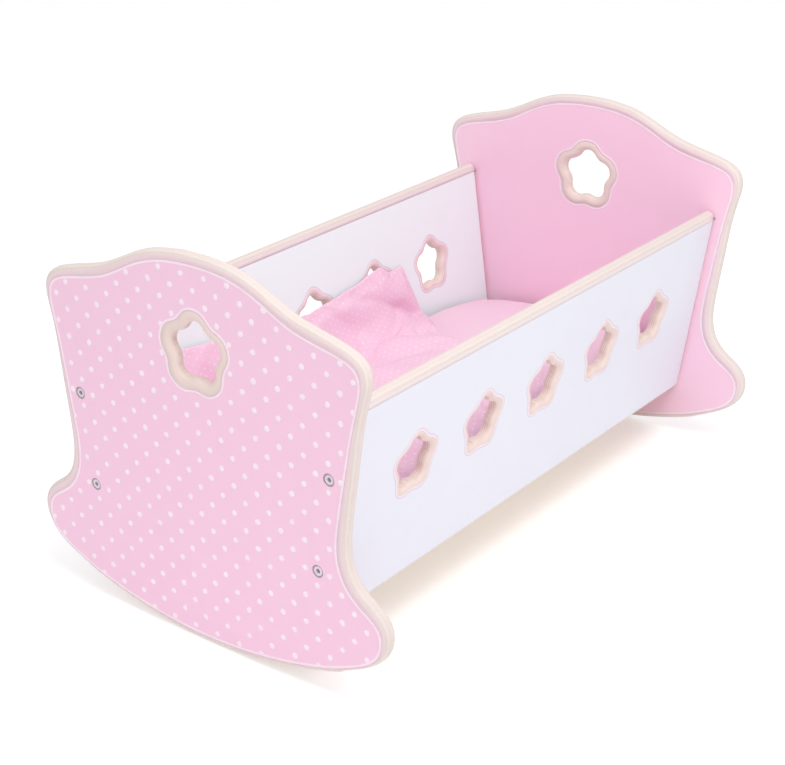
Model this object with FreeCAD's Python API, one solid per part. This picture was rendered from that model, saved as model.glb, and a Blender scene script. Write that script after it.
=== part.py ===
import FreeCAD, Part
import math
import os

# Doll's rocking cradle in plywood, millimetres, with mattress and quilt.
# Frame: +Z up, +Y from the foot end to the head end, +X to the right when seen
# from the foot end. The origin is on the floor, midway between the two rockers,
# at the lowest point of the rocker curve. Heights in this file are measured from
# a datum above the floor; save() raises every part by that much.

Vector = FreeCAD.Vector
os.makedirs("parts", exist_ok=True)

# ---------------------------------------------------------------- shared sizes
datum = 2.2                 # height of the drawing datum above the floor
overall_length = 480.0      # outside face to outside face of the end panels
ply = 9.0                   # plywood of the end and side panels
edge_round = 4.2            # bullnose edge of the panels and end cut-outs
half_length = overall_length / 2.0
inner_half = half_length - ply
flat_tol = 1e-3             # an edge shorter than this in one direction is flat there

side_cant = 8.3             # degrees, side panels lean outwards
side_foot_x = 89.4          # mid-plane of the side panel at its lower edge
side_foot_z = 41.2
tan_cant = math.tan(math.radians(side_cant))
cos_cant = math.cos(math.radians(side_cant))

board_z = 50.0              # underside of the base board


def mid_x(z):
    """Mid-plane of the right side panel at height z."""
    return side_foot_x + tan_cant * (z - side_foot_z)


def inner_x(z):
    """Inner face of the right side panel at height z."""
    return mid_x(z) - ply / 2.0 / cos_cant


screw_z = (83.7, 148.4)     # two screws per joint, on the side panel's mid-plane
screw_places = [(side * mid_x(z), z) for side in (-1, 1) for z in screw_z]
screw_sink = 0.4            # head sits this far below the panel's outer face


# ---------------------------------------------------------------- helpers
def polygon_face(points):
    """Flat face with straight sides through the points."""
    return Part.Face(Part.makePolygon(points + [points[0]]))


def curved_top_prism(top, base, sweep):
    """Prism whose section has a smooth curve through top and straight sides
    from its end, by way of the base points, back to its start."""
    curve = Part.BSplineCurve()
    curve.interpolate(Points=top)
    sides = Part.makePolygon([top[-1]] + base + [top[0]])
    return Part.Face(Part.Wire([curve.toShape()] + sides.Edges)).extrude(sweep)


def move_to_end(shape, end):
    """Move a shape built inwards from an outer face at y = 0 to the foot end
    (end -1, at -Y) or the head end (end +1, at +Y)."""
    if end > 0:
        shape.rotate(Vector(0, 0, 0), Vector(0, 0, 1), 180)
    shape.translate(Vector(0, end * half_length, 0))
    return shape


def flower_wire(tip, valley, lobe):
    """Five-petal closed curve in the XZ plane, one petal up, centred at 0.
    Round petals of radius lobe reach out to tip, and are joined by tangent
    hollows whose floor is at radius valley."""
    pitch = 72.0
    half_pitch = 36
    petal_out = tip - lobe
    cos_half = math.cos(math.radians(half_pitch))
    # tangency: petal and hollow centres are the sum of the two radii apart
    hollow = ((lobe ** 2 - petal_out ** 2 - valley ** 2 + 2 * petal_out * valley * cos_half)
              / (2 * (valley - petal_out * cos_half - lobe)))
    hollow_out = valley + hollow

    def polar(radius, degrees):
        angle = math.radians(degrees)
        return Vector(radius * math.sin(angle), 0, radius * math.cos(angle))

    def join(petal_angle, hollow_angle):
        petal_centre = polar(petal_out, petal_angle)
        hollow_centre = polar(hollow_out, hollow_angle)
        return petal_centre + (hollow_centre - petal_centre) * (lobe / (lobe + hollow))

    edges = []
    for k in range(5):
        angle = pitch * k
        before = join(angle, angle - half_pitch)
        after = join(angle, angle + half_pitch)
        following = join(angle + pitch, angle + half_pitch)
        edges.append(Part.Arc(before, polar(tip, angle), after).toShape())
        edges.append(Part.Arc(after, polar(valley, angle + half_pitch), following).toShape())
    return Part.Wire(edges)


def save(shape, name):
    shape.translate(Vector(0, 0, datum))
    if len(shape.Solids) == 1:
        shape = shape.Solids[0]
    shape.exportStep("parts/%s.step" % name)


# ---------------------------------------------------------------- end panels
rocker_radius = 338.0       # curve of the rocker that rolls on the floor
rocker_arc_half = 100.0     # half width over which the rocker is a true arc
panel_top = 267.4           # height of the hump
end_flower_z = 202.6        # centre of the cut-out
end_flower = (20.6, 16.6, 7.7)      # petal tip, hollow floor, petal radius
shank_hole_d = 4.4
sink_hole_d = 8.5
sink_land = 0.35            # straight part of the countersink below the head's top

# Half outline from the hump down to the rocker: x out from the centre line,
# z up from the datum.
half_outline = [
    (17.3, 266.6), (33.3, 264.1), (48.2, 259.2), (63.5, 251.9), (78.4, 245.4),
    (93.1, 241.2), (111.1, 236.8), (123.7, 232.3), (131.2, 225.9), (133.6, 216.9),
    (131.8, 205.7), (128.1, 189.9), (125.4, 172.3), (122.8, 152.7), (120.1, 133.8),
    (118.0, 116.4), (117.7, 102.6), (119.9, 91.8), (124.6, 83.3), (132.0, 76.3),
    (141.5, 69.3), (148.1, 60.2), (149.0, 49.5), (145.2, 39.9), (137.8, 32.1),
    (126.3, 24.8), (113.4, 18.4),
]


def outline_wire():
    """Closed outline of an end panel in the XZ plane."""
    arc_angle = math.asin(rocker_arc_half / rocker_radius)
    cos_arc, sin_arc = math.cos(arc_angle), math.sin(arc_angle)
    arc_z = rocker_radius * (1 - cos_arc) - datum
    right = ([Vector(0, 0, panel_top)] + [Vector(x, 0, z) for x, z in half_outline]
             + [Vector(rocker_arc_half, 0, arc_z)])
    left = [Vector(-point.x, 0, point.z) for point in reversed(right)]
    # both curves are level at the hump and tangent to the rocker arc
    right_curve = Part.BSplineCurve()
    right_curve.interpolate(Points=right, InitialTangent=Vector(1, 0, 0),
                            FinalTangent=Vector(-cos_arc, 0, -sin_arc))
    left_curve = Part.BSplineCurve()
    left_curve.interpolate(Points=left, InitialTangent=Vector(-cos_arc, 0, sin_arc),
                           FinalTangent=Vector(1, 0, 0))
    rocker = Part.Arc(right[-1], Vector(0, 0, -datum), left[0])
    return Part.Wire([right_curve.toShape(), rocker.toShape(), left_curve.toShape()])


def countersunk_hole(x, z):
    """Cutter for a screw hole, countersunk at 45 degrees from y = 0."""
    start, inward = Vector(x, -1, z), Vector(0, 1, 0)
    land = screw_sink + sink_land
    shank = Part.makeCylinder(shank_hole_d / 2, ply + 2, start, inward)
    bore = Part.makeCylinder(sink_hole_d / 2, land + 1, start, inward)
    cone = Part.makeCone(sink_hole_d / 2, shank_hole_d / 2, (sink_hole_d - shank_hole_d) / 2,
                         Vector(x, land, z), inward)
    return shank.fuse([bore, cone])


def end_panel(end):
    """end -1: foot end at -Y; end +1: head end at +Y."""
    body = Part.Face(outline_wire()).extrude(Vector(0, ply, 0))
    flower = Part.Face(flower_wire(*end_flower))
    flower.translate(Vector(0, -1, end_flower_z))
    body = body.cut(flower.extrude(Vector(0, ply + 2, 0)))
    rim = [edge for edge in body.Edges if abs(edge.BoundBox.YLength) < flat_tol]
    body = body.makeFillet(edge_round, rim)
    for x, z in screw_places:
        body = body.cut(countersunk_hole(x, z))
    return move_to_end(body, end)


# ---------------------------------------------------------------- screws
screw_head_d = 8.0
head_bevel = (0.25, 0.15)   # bevel of the head's rim: radial, axial
head_land = 0.4             # from the top of the head to its widest part's end
screw_shank_d = 4.0
screw_core_d = 3.0
screw_length = 38.0
screw_pitch = 1.8
thread_start = ply + 1.5    # depth of the first thread below the outer face
thread_end_gap = 4.0        # no thread starts its last turn this near the tip
crest_inset = 0.02          # thread crests are this much smaller than the shank
tip_radius = 0.25
hex_socket_af = 3.0         # across flats
hex_socket_depth = 2.0
hex_socket_turn = 10        # degrees


def hex_socket(x, z):
    """Cutter for the hexagonal socket; it starts 1 mm outside the outer face."""
    radius = hex_socket_af / 2.0 / math.cos(math.radians(30))
    angles = [math.radians(60 * i + hex_socket_turn) for i in range(6)]
    corners = [Vector(x + radius * math.cos(angle), screw_sink - 1, z + radius * math.sin(angle))
               for angle in angles]
    return polygon_face(corners).extrude(Vector(0, hex_socket_depth + 1, 0))


def screw(x, z):
    """Countersunk socket screw along +Y, its head in a face at y = 0.
    The thread is a row of rings."""
    head, shank, core = screw_head_d / 2, screw_shank_d / 2, screw_core_d / 2
    crest = shank - crest_inset
    top = screw_sink
    # (radius, y) down the screw
    profile = [(0.0, top), (head - head_bevel[0], top), (head, top + head_bevel[1]),
               (head, top + head_land), (shank, top + head_land + (head - shank))]
    y = thread_start
    profile.append((crest, y))
    while y + screw_pitch < top + screw_length - thread_end_gap:
        profile += [(core, y + 0.35), (core, y + screw_pitch - 0.75),
                    (crest, y + screw_pitch - 0.1), (crest, y + screw_pitch)]
        y += screw_pitch
    profile += [(core, y + 0.5), (tip_radius, top + screw_length), (0.0, top + screw_length)]
    section = polygon_face([Vector(radius, depth, 0) for radius, depth in profile])
    body = section.revolve(Vector(0, 0, 0), Vector(0, 1, 0), 360)
    body.translate(Vector(x, 0, z))
    return body.cut(hex_socket(x, z))


def screws(end):
    """The four screws of one end panel."""
    return Part.makeCompound([move_to_end(screw(x, z), end) for x, z in screw_places])


# ---------------------------------------------------------------- side panels
side_width = 154.6          # measured up the slope
side_corner = 4.6           # rounding of the upper corners
side_rim_round = 3.6        # rounded rim of the flowers
side_flower_v = 86.6        # flower centre, measured up the slope from the lower edge
side_flower_pitch = 77.0    # spacing along the cradle, five per side
side_flower = (18.0, 14.4, 6.6)     # petal tip, hollow floor, petal radius
pilot_hole_d = 4.06
pilot_depth = 31.5
groove_height = 6.2
groove_x = 90.0             # bottom of the groove, from the centre line
groove_cut_x = 60           # the groove cutter starts here, inside the tub


def side_blank():
    """Flat side panel: length along Y, width up Z, thickness centred on x = 0."""
    half, width, corner = inner_half, side_width, side_corner
    inset = corner * (1 - math.sqrt(0.5))       # middle of a corner arc
    points = [Vector(0, y, z) for y, z in [
        (-half, 0), (half, 0), (half, width - corner), (half - corner, width),
        (-half + corner, width), (-half, width - corner)]]
    right_arc = Part.Arc(points[2], Vector(0, half - inset, width - inset), points[3])
    left_arc = Part.Arc(points[4], Vector(0, -half + inset, width - inset), points[5])
    edges = [Part.makeLine(points[0], points[1]), Part.makeLine(points[1], points[2]),
             right_arc.toShape(), Part.makeLine(points[3], points[4]),
             left_arc.toShape(), Part.makeLine(points[5], points[0])]
    body = Part.Face(Part.Wire(edges)).extrude(Vector(ply, 0, 0))
    body.translate(Vector(-ply / 2, 0, 0))
    # round the lower edge, and the upper edge with its corners
    rim = []
    for edge in body.Edges:
        box = edge.BoundBox
        if box.XLength < flat_tol and (box.ZMin > width - corner - flat_tol
                                       or box.ZMax < flat_tol):
            rim.append(edge)
    return body.makeFillet(edge_round, rim)


def cut_side_flowers(body):
    """Cut the row of flowers through the flat panel and round their rims."""
    cutters = []
    for i in range(-2, 3):
        flower = Part.Face(flower_wire(*side_flower))
        flower.rotate(Vector(0, 0, 0), Vector(0, 0, 1), 90)
        flower.translate(Vector(-ply, i * side_flower_pitch, side_flower_v))
        cutters.append(flower.extrude(Vector(2 * ply, 0, 0)))
    body = body.cut(cutters[0].fuse(cutters[1:]))
    rim = []
    for edge in body.Edges:
        box = edge.BoundBox
        # short flat edges, well inside the panel's width
        if (box.XLength < flat_tol and box.YLength < 60
                and box.ZMin > 40 and box.ZMax < side_width - 30):
            rim.append(edge)
    return body.makeFillet(side_rim_round, rim)


def side_panel(side):
    """side +1: right; -1: left. Built flat, then leaned out."""
    body = cut_side_flowers(side_blank())
    for z in screw_z:
        up_slope = (z - side_foot_z) / cos_cant
        for end in (-1, 1):
            body = body.cut(Part.makeCylinder(pilot_hole_d / 2, pilot_depth + 1,
                                              Vector(0, end * (inner_half + 1), up_slope),
                                              Vector(0, -end, 0)))
    body.rotate(Vector(0, 0, 0), Vector(0, 1, 0), side_cant)
    body.translate(Vector(side_foot_x, 0, side_foot_z))
    # groove for the base board, level with it
    body = body.cut(Part.makeBox(groove_x - groove_cut_x, 2 * inner_half + 2, groove_height,
                                 Vector(groove_cut_x, -inner_half - 1, board_z)))
    if side < 0:
        body = body.mirror(Vector(0, 0, 0), Vector(1, 0, 0))
    return body


# ---------------------------------------------------------------- base board
board_thick = 6.0
board_half_width = 89.4
board_end_gap = 0.3
board_corner = 1.5


def base_board():
    """Board carried in the grooves of the side panels."""
    half = inner_half - board_end_gap
    board = Part.makeBox(2 * board_half_width, 2 * half, board_thick,
                         Vector(-board_half_width, -half, board_z))
    upright = [edge for edge in board.Edges if edge.BoundBox.ZLength > board_thick - 0.01]
    return board.makeFillet(board_corner, upright)


# ---------------------------------------------------------------- mattress
fabric = 1.0                # sewn cover, modelled as a shell this thick
wadding_gap = 0.2           # between a cover and its filling

mattress_gap = 1.0          # clearance of the mattress to the tub
mattress_bottom = 56.8
mattress_crown = 91.6       # height of the middle of the mattress
mattress_side_z = 85.0      # top of the long sides
shoulder_part = 0.55        # shoulder's place, as a part of the half width
shoulder_drop = 1.6         # shoulder below the crown
# top seen from the side: distance in from either end, height
mattress_end_curve = [(0, 77.0), (14, 83.0), (40, 88.0), (80, 90.8)]


def mattress(inset):
    """Crowned pad that fills the tub above the base board, made smaller all
    round by inset."""
    bottom = mattress_bottom + inset
    gap = mattress_gap + inset
    half = inner_half - gap
    side_z = mattress_side_z - inset
    bottom_x, side_x = inner_x(bottom) - gap, inner_x(side_z) - gap
    shoulder_x = side_x * shoulder_part
    shoulder_z = mattress_crown - shoulder_drop - inset
    top = [(-side_x, side_z), (-shoulder_x, shoulder_z), (0, mattress_crown - inset),
           (shoulder_x, shoulder_z), (side_x, side_z)]
    across = curved_top_prism([Vector(x, -half, z) for x, z in top],
                              [Vector(bottom_x, -half, bottom), Vector(-bottom_x, -half, bottom)],
                              Vector(0, 2 * half, 0))
    # the same pad seen from the side: ends lower than the middle
    top = ([(-half + y, z - inset) for y, z in mattress_end_curve]
           + [(0, mattress_crown + 0.4 - inset)]
           + [(half - y, z - inset) for y, z in reversed(mattress_end_curve)])
    along = curved_top_prism([Vector(-120, y, z) for y, z in top],
                             [Vector(-120, half, bottom - 1), Vector(-120, -half, bottom - 1)],
                             Vector(240, 0, 0))
    return across.common(along)


# ---------------------------------------------------------------- quilt
quilt_bottom = 92.6
quilt_thick = 7.4
quilt_lean_thick = 8.0      # part that leans on the left side panel
quilt_gap = 1.4             # to the side panel
quilt_foot_gap = 2.6        # to the foot end panel
quilt_right_x = 85.0
quilt_bend = 9.0            # size of the bevelled inner bend
quilt_far_y = 120.0         # edge nearest the head end
quilt_section_top = 160.0   # section reaches past the trimmed upper edge
# upper edge of the leaning part, towards the foot end: y, z
quilt_upper_edge = [(60, 140.5), (0, 137.5), (-60, 137.5), (-110, 144.0), (-150, 150.0)]
quilt_foot_top = 151.0      # upper edge at the foot end
# far edge over the mattress, from left to right: x, y
quilt_far_edge = [(-48, 94), (-5, 87), (100, 89)]


def quilt(inset):
    """Padded quilt: flat over the mattress, its left part leaning up the side,
    made smaller all round by inset."""
    low, high = quilt_bottom + inset, quilt_bottom + quilt_thick - inset
    lean = (quilt_lean_thick - 2 * inset) / cos_cant
    right = quilt_right_x - inset
    bend, top = quilt_bend, quilt_section_top
    foot = -(inner_half - quilt_foot_gap - inset)
    far = quilt_far_y - inset

    def left_x(z):
        return -(inner_x(z) - (quilt_gap + inset))

    section = [(left_x(low), low), (right, low), (right, high),
               (left_x(high) + lean + bend, high),
               (left_x(high + bend) + lean + bend * 0.3, high + bend * 0.3),
               (left_x(high + bend) + lean, high + bend),
               (left_x(top) + lean, top), (left_x(top), top)]
    body = polygon_face([Vector(x, foot, z) for x, z in section])
    body = body.extrude(Vector(0, 160 - foot, 0))
    # keep what lies inside the outline seen from the side
    outline = ([(foot, low - 1), (far, low - 1), (far, high + 1.0), (far - 3, high + 2.2),
                (far - 11, 139.0 - inset)]
               + [(y, z - inset) for y, z in quilt_upper_edge]
               + [(foot, quilt_foot_top - inset)])
    keep = polygon_face([Vector(-130, y, z) for y, z in outline]).extrude(Vector(260, 0, 0))
    body = body.common(keep)
    # the far edge slants: over the mattress it lies nearer to the foot end than at the side
    plan = ([(-76, 150), (-76, far)] + [(x, y - inset) for x, y in quilt_far_edge]
            + [(100, 150)])
    beyond = polygon_face([Vector(x, y, low - 5) for x, y in plan])
    return body.cut(beyond.extrude(Vector(0, 0, 90)))


# ---------------------------------------------------------------- parts
for end, end_name in ((-1, "foot_end"), (1, "head_end")):
    save(end_panel(end), end_name + "_panel")
    save(screws(end), end_name + "_screws")
save(side_panel(-1), "left_side_panel")
save(side_panel(+1), "right_side_panel")
save(base_board(), "base_board")
for pad, cover_name, filling_name in ((mattress, "mattress_cover", "mattress_filling"),
                                      (quilt, "quilt_cover", "quilt_wadding")):
    save(pad(0.0).cut(pad(fabric)), cover_name)
    save(pad(fabric + wadding_gap), filling_name)
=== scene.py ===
import bpy, bmesh, math
import numpy as np
from mathutils import Vector, Matrix, noise


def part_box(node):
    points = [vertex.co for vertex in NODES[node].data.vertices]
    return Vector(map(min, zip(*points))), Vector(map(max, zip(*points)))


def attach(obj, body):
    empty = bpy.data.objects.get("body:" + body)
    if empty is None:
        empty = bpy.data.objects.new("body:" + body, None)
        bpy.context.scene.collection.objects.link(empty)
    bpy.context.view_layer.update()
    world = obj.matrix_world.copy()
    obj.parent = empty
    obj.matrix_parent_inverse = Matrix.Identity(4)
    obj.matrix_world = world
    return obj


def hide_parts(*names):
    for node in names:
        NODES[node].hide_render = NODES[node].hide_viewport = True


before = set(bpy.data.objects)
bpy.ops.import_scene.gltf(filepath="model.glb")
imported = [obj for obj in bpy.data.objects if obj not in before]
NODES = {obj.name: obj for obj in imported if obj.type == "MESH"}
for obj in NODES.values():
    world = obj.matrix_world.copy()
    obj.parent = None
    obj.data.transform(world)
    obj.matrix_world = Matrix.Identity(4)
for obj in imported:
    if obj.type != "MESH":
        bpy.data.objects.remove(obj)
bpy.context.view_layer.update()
MM = 0.001
scene = bpy.context.scene
coll = scene.collection

# ------------------------------------------------------------------ frame sizes
lo_f, hi_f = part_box("foot_end_panel")
lo_h, hi_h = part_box("head_end_panel")
Y_FOOT_OUT, Y_FOOT_IN = lo_f.y, hi_f.y
Y_HEAD_IN, Y_HEAD_OUT = lo_h.y, hi_h.y
PLY = Y_FOOT_IN - Y_FOOT_OUT
TOP = hi_f.z
CANT = math.radians(8.3)
SC, CC, TC = math.sin(CANT), math.cos(CANT), math.tan(CANT)
D_MM = 2.2                               # heights below are drawn from a datum this far above the floor
D = D_MM * MM
FOOT_X, FOOT_Z = 0.0894, 0.0412 + D      # mid-plane of a side panel at its lower edge
END_FLOWER_Z = 0.2026 + D
EDGE_R = 4.2                             # bullnose of the end panels, mm
SIDE_V, SIDE_PITCH = 0.0866, 0.077


def mid_x(z):
    return FOOT_X + TC * (z - FOOT_Z)


def inner_x(z):
    return mid_x(z) - PLY / 2 / CC


# ------------------------------------------------------------------ node helpers
class Mat:
    """Small helper that builds a node material and keeps its links readable."""

    def __init__(self, name):
        self.m = bpy.data.materials.new(name)
        self.m.use_nodes = True
        self.nt = self.m.node_tree
        self.nt.nodes.clear()
        self.out = self.node("ShaderNodeOutputMaterial")
        self.p = self.node("ShaderNodeBsdfPrincipled")
        self.link(self.p.outputs[0], self.out.inputs["Surface"])
        self.co = self.node("ShaderNodeTexCoord")

    def node(self, kind, **kw):
        n = self.nt.nodes.new(kind)
        for k, v in kw.items():
            setattr(n, k, v)
        return n

    def link(self, a, b):
        self.nt.links.new(a, b)

    def put(self, sock, v):
        if isinstance(v, bpy.types.NodeSocket):
            self.link(v, sock)
        elif isinstance(v, (int, float)):
            sock.default_value = v
        else:
            v = tuple(v)
            if len(sock.default_value) == 4 and len(v) == 3:
                v = v + (1.0,)
            sock.default_value = v

    def math(self, op, a, b=0.0, c=0.0, clamp=False):
        n = self.node("ShaderNodeMath", operation=op, use_clamp=clamp)
        for i, v in enumerate((a, b, c)):
            self.put(n.inputs[i], v)
        return n.outputs[0]

    def vmath(self, op, a, b=(0, 0, 0), s=None):
        n = self.node("ShaderNodeVectorMath", operation=op)
        self.put(n.inputs[0], a)
        self.put(n.inputs[1], b)
        if s is not None:
            self.put(n.inputs["Scale"], s)
        return n.outputs["Value"] if op in ("DOT_PRODUCT", "LENGTH", "DISTANCE") else n.outputs[0]

    def xyz(self, v):
        n = self.node("ShaderNodeSeparateXYZ")
        self.link(v, n.inputs[0])
        return n.outputs[0], n.outputs[1], n.outputs[2]

    def comb(self, x, y, z):
        n = self.node("ShaderNodeCombineXYZ")
        for i, v in enumerate((x, y, z)):
            self.put(n.inputs[i], v)
        return n.outputs[0]

    def step(self, v, a, b, lo=0.0, hi=1.0):
        """Smooth ramp of v from a to b, out lo..hi."""
        n = self.node("ShaderNodeMapRange", interpolation_type="SMOOTHSTEP")
        self.put(n.inputs["Value"], v)
        for k, x in (("From Min", a), ("From Max", b), ("To Min", lo), ("To Max", hi)):
            self.put(n.inputs[k], x)
        return n.outputs[0]

    def lin(self, v, a, b, lo=0.0, hi=1.0):
        n = self.node("ShaderNodeMapRange")
        self.put(n.inputs["Value"], v)
        for k, x in (("From Min", a), ("From Max", b), ("To Min", lo), ("To Max", hi)):
            self.put(n.inputs[k], x)
        return n.outputs[0]

    def noise(self, vec, scale, detail=3.0, rough=0.5, distort=0.0):
        n = self.node("ShaderNodeTexNoise")
        self.put(n.inputs["Vector"], vec)
        self.put(n.inputs["Scale"], scale)
        self.put(n.inputs["Detail"], detail)
        self.put(n.inputs["Roughness"], rough)
        self.put(n.inputs["Distortion"], distort)
        return n.outputs[0]

    def mix(self, f, a, b, mode="MIX"):
        n = self.node("ShaderNodeMix", data_type="RGBA", blend_type=mode, clamp_factor=True)
        self.put(n.inputs[0], f)
        self.put(n.inputs[6], a)
        self.put(n.inputs[7], b)
        return n.outputs[2]

    def fmix(self, f, a, b):
        n = self.node("ShaderNodeMix", data_type="FLOAT")
        self.put(n.inputs[0], f)
        self.put(n.inputs[2], a)
        self.put(n.inputs[3], b)
        return n.outputs[0]

    def bump(self, height, dist, strength=1.0, normal=None):
        n = self.node("ShaderNodeBump")
        self.put(n.inputs["Height"], height)
        self.put(n.inputs["Distance"], dist)
        self.put(n.inputs["Strength"], strength)
        if normal is not None:
            self.link(normal, n.inputs["Normal"])
        return n.outputs[0]

    def set(self, **kw):
        names = {"color": "Base Color", "rough": "Roughness", "metal": "Metallic", "normal": "Normal",
                 "coat": "Coat Weight", "coat_rough": "Coat Roughness", "sheen": "Sheen Weight",
                 "sheen_rough": "Sheen Roughness", "sheen_tint": "Sheen Tint", "spec": "Specular IOR Level",
                 "sss": "Subsurface Weight", "sss_scale": "Subsurface Scale", "aniso": "Anisotropic"}
        for k, v in kw.items():
            self.put(self.p.inputs[names[k]], v)
        return self.m


def srgb(r, g, b):
    def f(c):
        c /= 255.0
        return c / 12.92 if c <= 0.04045 else ((c + 0.055) / 1.055) ** 2.4
    return (f(r), f(g), f(b), 1.0)


# ------------------------------------------------------------------ painted plywood
def painted_ply(name, paint, axis, hole, tint=None, outer=None):
    """Painted faces with bare, sanded plywood edges; all bare where paint is None.
    axis: the panel's unit normal. hole: (kind) how to find the flower cut-outs, whose walls are darker: partly wood
    the saw scorches, partly painted shade inside the cut-out."""
    m = Mat(name)
    P = m.co.outputs["Object"]
    N = m.co.outputs["Normal"]
    ax = Vector(axis).normalized()
    facing = m.math("ABSOLUTE", m.vmath("DOT_PRODUCT", N, tuple(ax)))
    x, y, z = m.xyz(P)
    # --- depth through the plywood, in metres from the mid-plane
    depth = m.math("SUBTRACT", m.vmath("DOT_PRODUCT", P, tuple(ax)), hole["mid"])
    wob = m.noise(P, 55, 2)
    wob_c = m.math("SUBTRACT", wob, 0.5)
    edge_wob = m.noise(P, 420, 3, 0.6)
    # --- how near the surface lies to a flower cut-out
    if hole["kind"] == "end":
        dx = x
        dz = m.math("SUBTRACT", z, END_FLOWER_Z)
        rad = m.math("SQRT", m.math("ADD", m.math("MULTIPLY", dx, dx), m.math("MULTIPLY", dz, dz)))
        inhole = m.step(rad, 0.0290, 0.0280)
        hx, hz = dx, dz
    else:
        ym = m.math("SUBTRACT", m.math("MODULO", m.math("ADD", y, SIDE_PITCH * 10.5), SIDE_PITCH), SIDE_PITCH / 2)
        up = (SC * hole["s"], 0, CC)
        v = m.math("SUBTRACT", m.vmath("DOT_PRODUCT", P, up), hole["v0"])
        rad = m.math("SQRT", m.math("ADD", m.math("MULTIPLY", ym, ym), m.math("MULTIPLY", v, v)))
        inhole = m.step(rad, 0.0235, 0.0225)
        hx, hz = ym, v
    # --- bare wood
    # veneers: five layers, light and slightly darker in turn, thin glue lines between them
    dmm = m.math("MULTIPLY", depth, 1000.0)
    dmm = m.math("ADD", dmm, m.math("MULTIPLY", wob_c, 0.5))
    lay = m.math("DIVIDE", dmm, 1.5)
    ph = m.math("FRACT", m.math("ADD", lay, 50.5))          # 0..1 inside a veneer
    dist = m.math("ABSOLUTE", m.math("SUBTRACT", ph, 0.5))  # 0.5 at a glue line
    glue = m.step(dist, 0.41, 0.48)
    par = m.math("ABSOLUTE", m.math("SUBTRACT", m.math("MODULO", m.math("FLOOR", m.math("ADD", lay, 50.5)), 2.0), 0.0))
    grain = m.noise(m.vmath("MULTIPLY", P, (1.0, 1.0, 1.0)), 1500, 4, 0.7)
    fib = m.noise(m.comb(m.math("MULTIPLY", x, 900), m.math("MULTIPLY", y, 900), m.math("MULTIPLY", z, 60)), 1.0, 3, 0.6)
    wood = m.mix(m.math("MULTIPLY", par, 0.55), srgb(233, 221, 217), srgb(227, 211, 206))
    wood = m.mix(m.math("MULTIPLY", m.step(grain, 0.42, 0.75), 0.18), wood, srgb(216, 190, 174))
    wood = m.mix(m.math("MULTIPLY", m.step(fib, 0.45, 0.7), 0.12), wood, srgb(212, 182, 162))
    broken = m.step(m.noise(P, 120, 2), 0.30, 0.62)
    glue_rim = m.math("MULTIPLY", glue, m.fmix(broken, 0.08, 0.26))
    # inside the cut-outs the glue lines are scorched and the wood browner, partly as scorch and partly as painted
    # shade on the walls
    burn = m.noise(m.comb(hx, hz, 0.0), 210, 3, 0.6)
    scorch = m.math("MULTIPLY", inhole, m.step(burn, 0.46, 0.70))
    deep = m.math("MULTIPLY", inhole, m.step(facing, 0.55, 0.15))
    glue_hole = m.math("MULTIPLY", m.math("MULTIPLY", m.step(dist, 0.31, 0.41), deep), m.fmix(m.step(burn, 0.42, 0.56), 0.05, 0.78))
    wood = m.mix(glue_rim, wood, srgb(190, 150, 126))
    # painted shade and scorch: the walls of the cut-outs are evenly browner, by the amount in hole["deep"]
    wood = m.mix(m.math("MULTIPLY", deep, hole["deep"]), wood, srgb(216, 184, 160))
    wood = m.mix(m.math("MULTIPLY", m.math("MULTIPLY", scorch, deep), 0.26), wood, srgb(204, 156, 132))
    wood = m.mix(glue_hole, wood, srgb(142, 98, 80))
    wood = m.mix(m.math("MULTIPLY", inhole, 0.55), wood, srgb(239, 216, 208))
    if paint is None:
        # a breath of paint is left where the bare border begins
        thin = m.math("MULTIPLY", m.step(facing, 0.72, 0.985), m.math("SUBTRACT", 1.0, inhole))
        wood = m.mix(m.math("MULTIPLY", thin, 0.62), wood, tint)
        m.set(color=wood, rough=0.62, spec=0.32,
              normal=m.bump(m.math("ADD", m.math("MULTIPLY", grain, 0.5), fib), 0.0001, 0.5))
        return m.m
    # --- paint
    big = m.noise(P, 7.0, 2)
    mott = m.noise(P, 60.0, 3)
    col = m.mix(m.math("MULTIPLY", m.step(big, 0.3, 0.7), 0.25), paint[0], paint[1])
    col = m.mix(m.math("MULTIPLY", m.step(mott, 0.35, 0.75), 0.12), col, paint[2])
    # painted light: the inner face can take a brighter copy of the paint, while the outward face keeps the plain
    # colour given in outer
    if outer is not None:
        side = m.step(m.vmath("DOT_PRODUCT", N, tuple(ax)), -0.1, 0.1)
        other = m.mix(m.math("MULTIPLY", m.step(big, 0.3, 0.7), 0.25), outer[0], outer[1])
        other = m.mix(m.math("MULTIPLY", m.step(mott, 0.35, 0.75), 0.12), other, outer[2])
        col = m.mix(side, col, other)
    # paint thins over the rounded edge and lets the wood through
    thr = m.math("ADD", facing, m.math("MULTIPLY", m.math("SUBTRACT", edge_wob, 0.5), hole["wob"]))
    mask = m.step(thr, hole["t0"], hole["t1"])
    col = m.mix(mask, wood, col)
    m.set(color=col)
    gr = m.noise(m.comb(m.math("MULTIPLY", x, 130 if hole["kind"] == "end" else 30),
                        m.math("MULTIPLY", y, 30 if hole["kind"] == "end" else 22),
                        m.math("MULTIPLY", z, 14 if hole["kind"] == "end" else 160)), 1.0, 5, 0.6)
    peel = m.noise(P, 850, 2)
    h_paint = m.math("ADD", m.math("MULTIPLY", gr, 0.6), m.math("MULTIPLY", peel, 0.4))
    h_wood = m.math("ADD", m.math("MULTIPLY", grain, 0.5), m.math("MULTIPLY", m.math("SUBTRACT", 1.0, glue), 0.8))
    h = m.fmix(mask, m.math("MULTIPLY", h_wood, 2.2), h_paint)
    m.set(normal=m.bump(h, 0.00006, 0.55))
    rough_p = m.lin(mott, 0.3, 0.7, 0.36, 0.46)
    m.set(rough=m.fmix(mask, 0.62, rough_p), spec=m.fmix(mask, 0.32, 0.45),
          coat=m.math("MULTIPLY", mask, 0.18), coat_rough=0.28)
    return m.m


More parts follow.
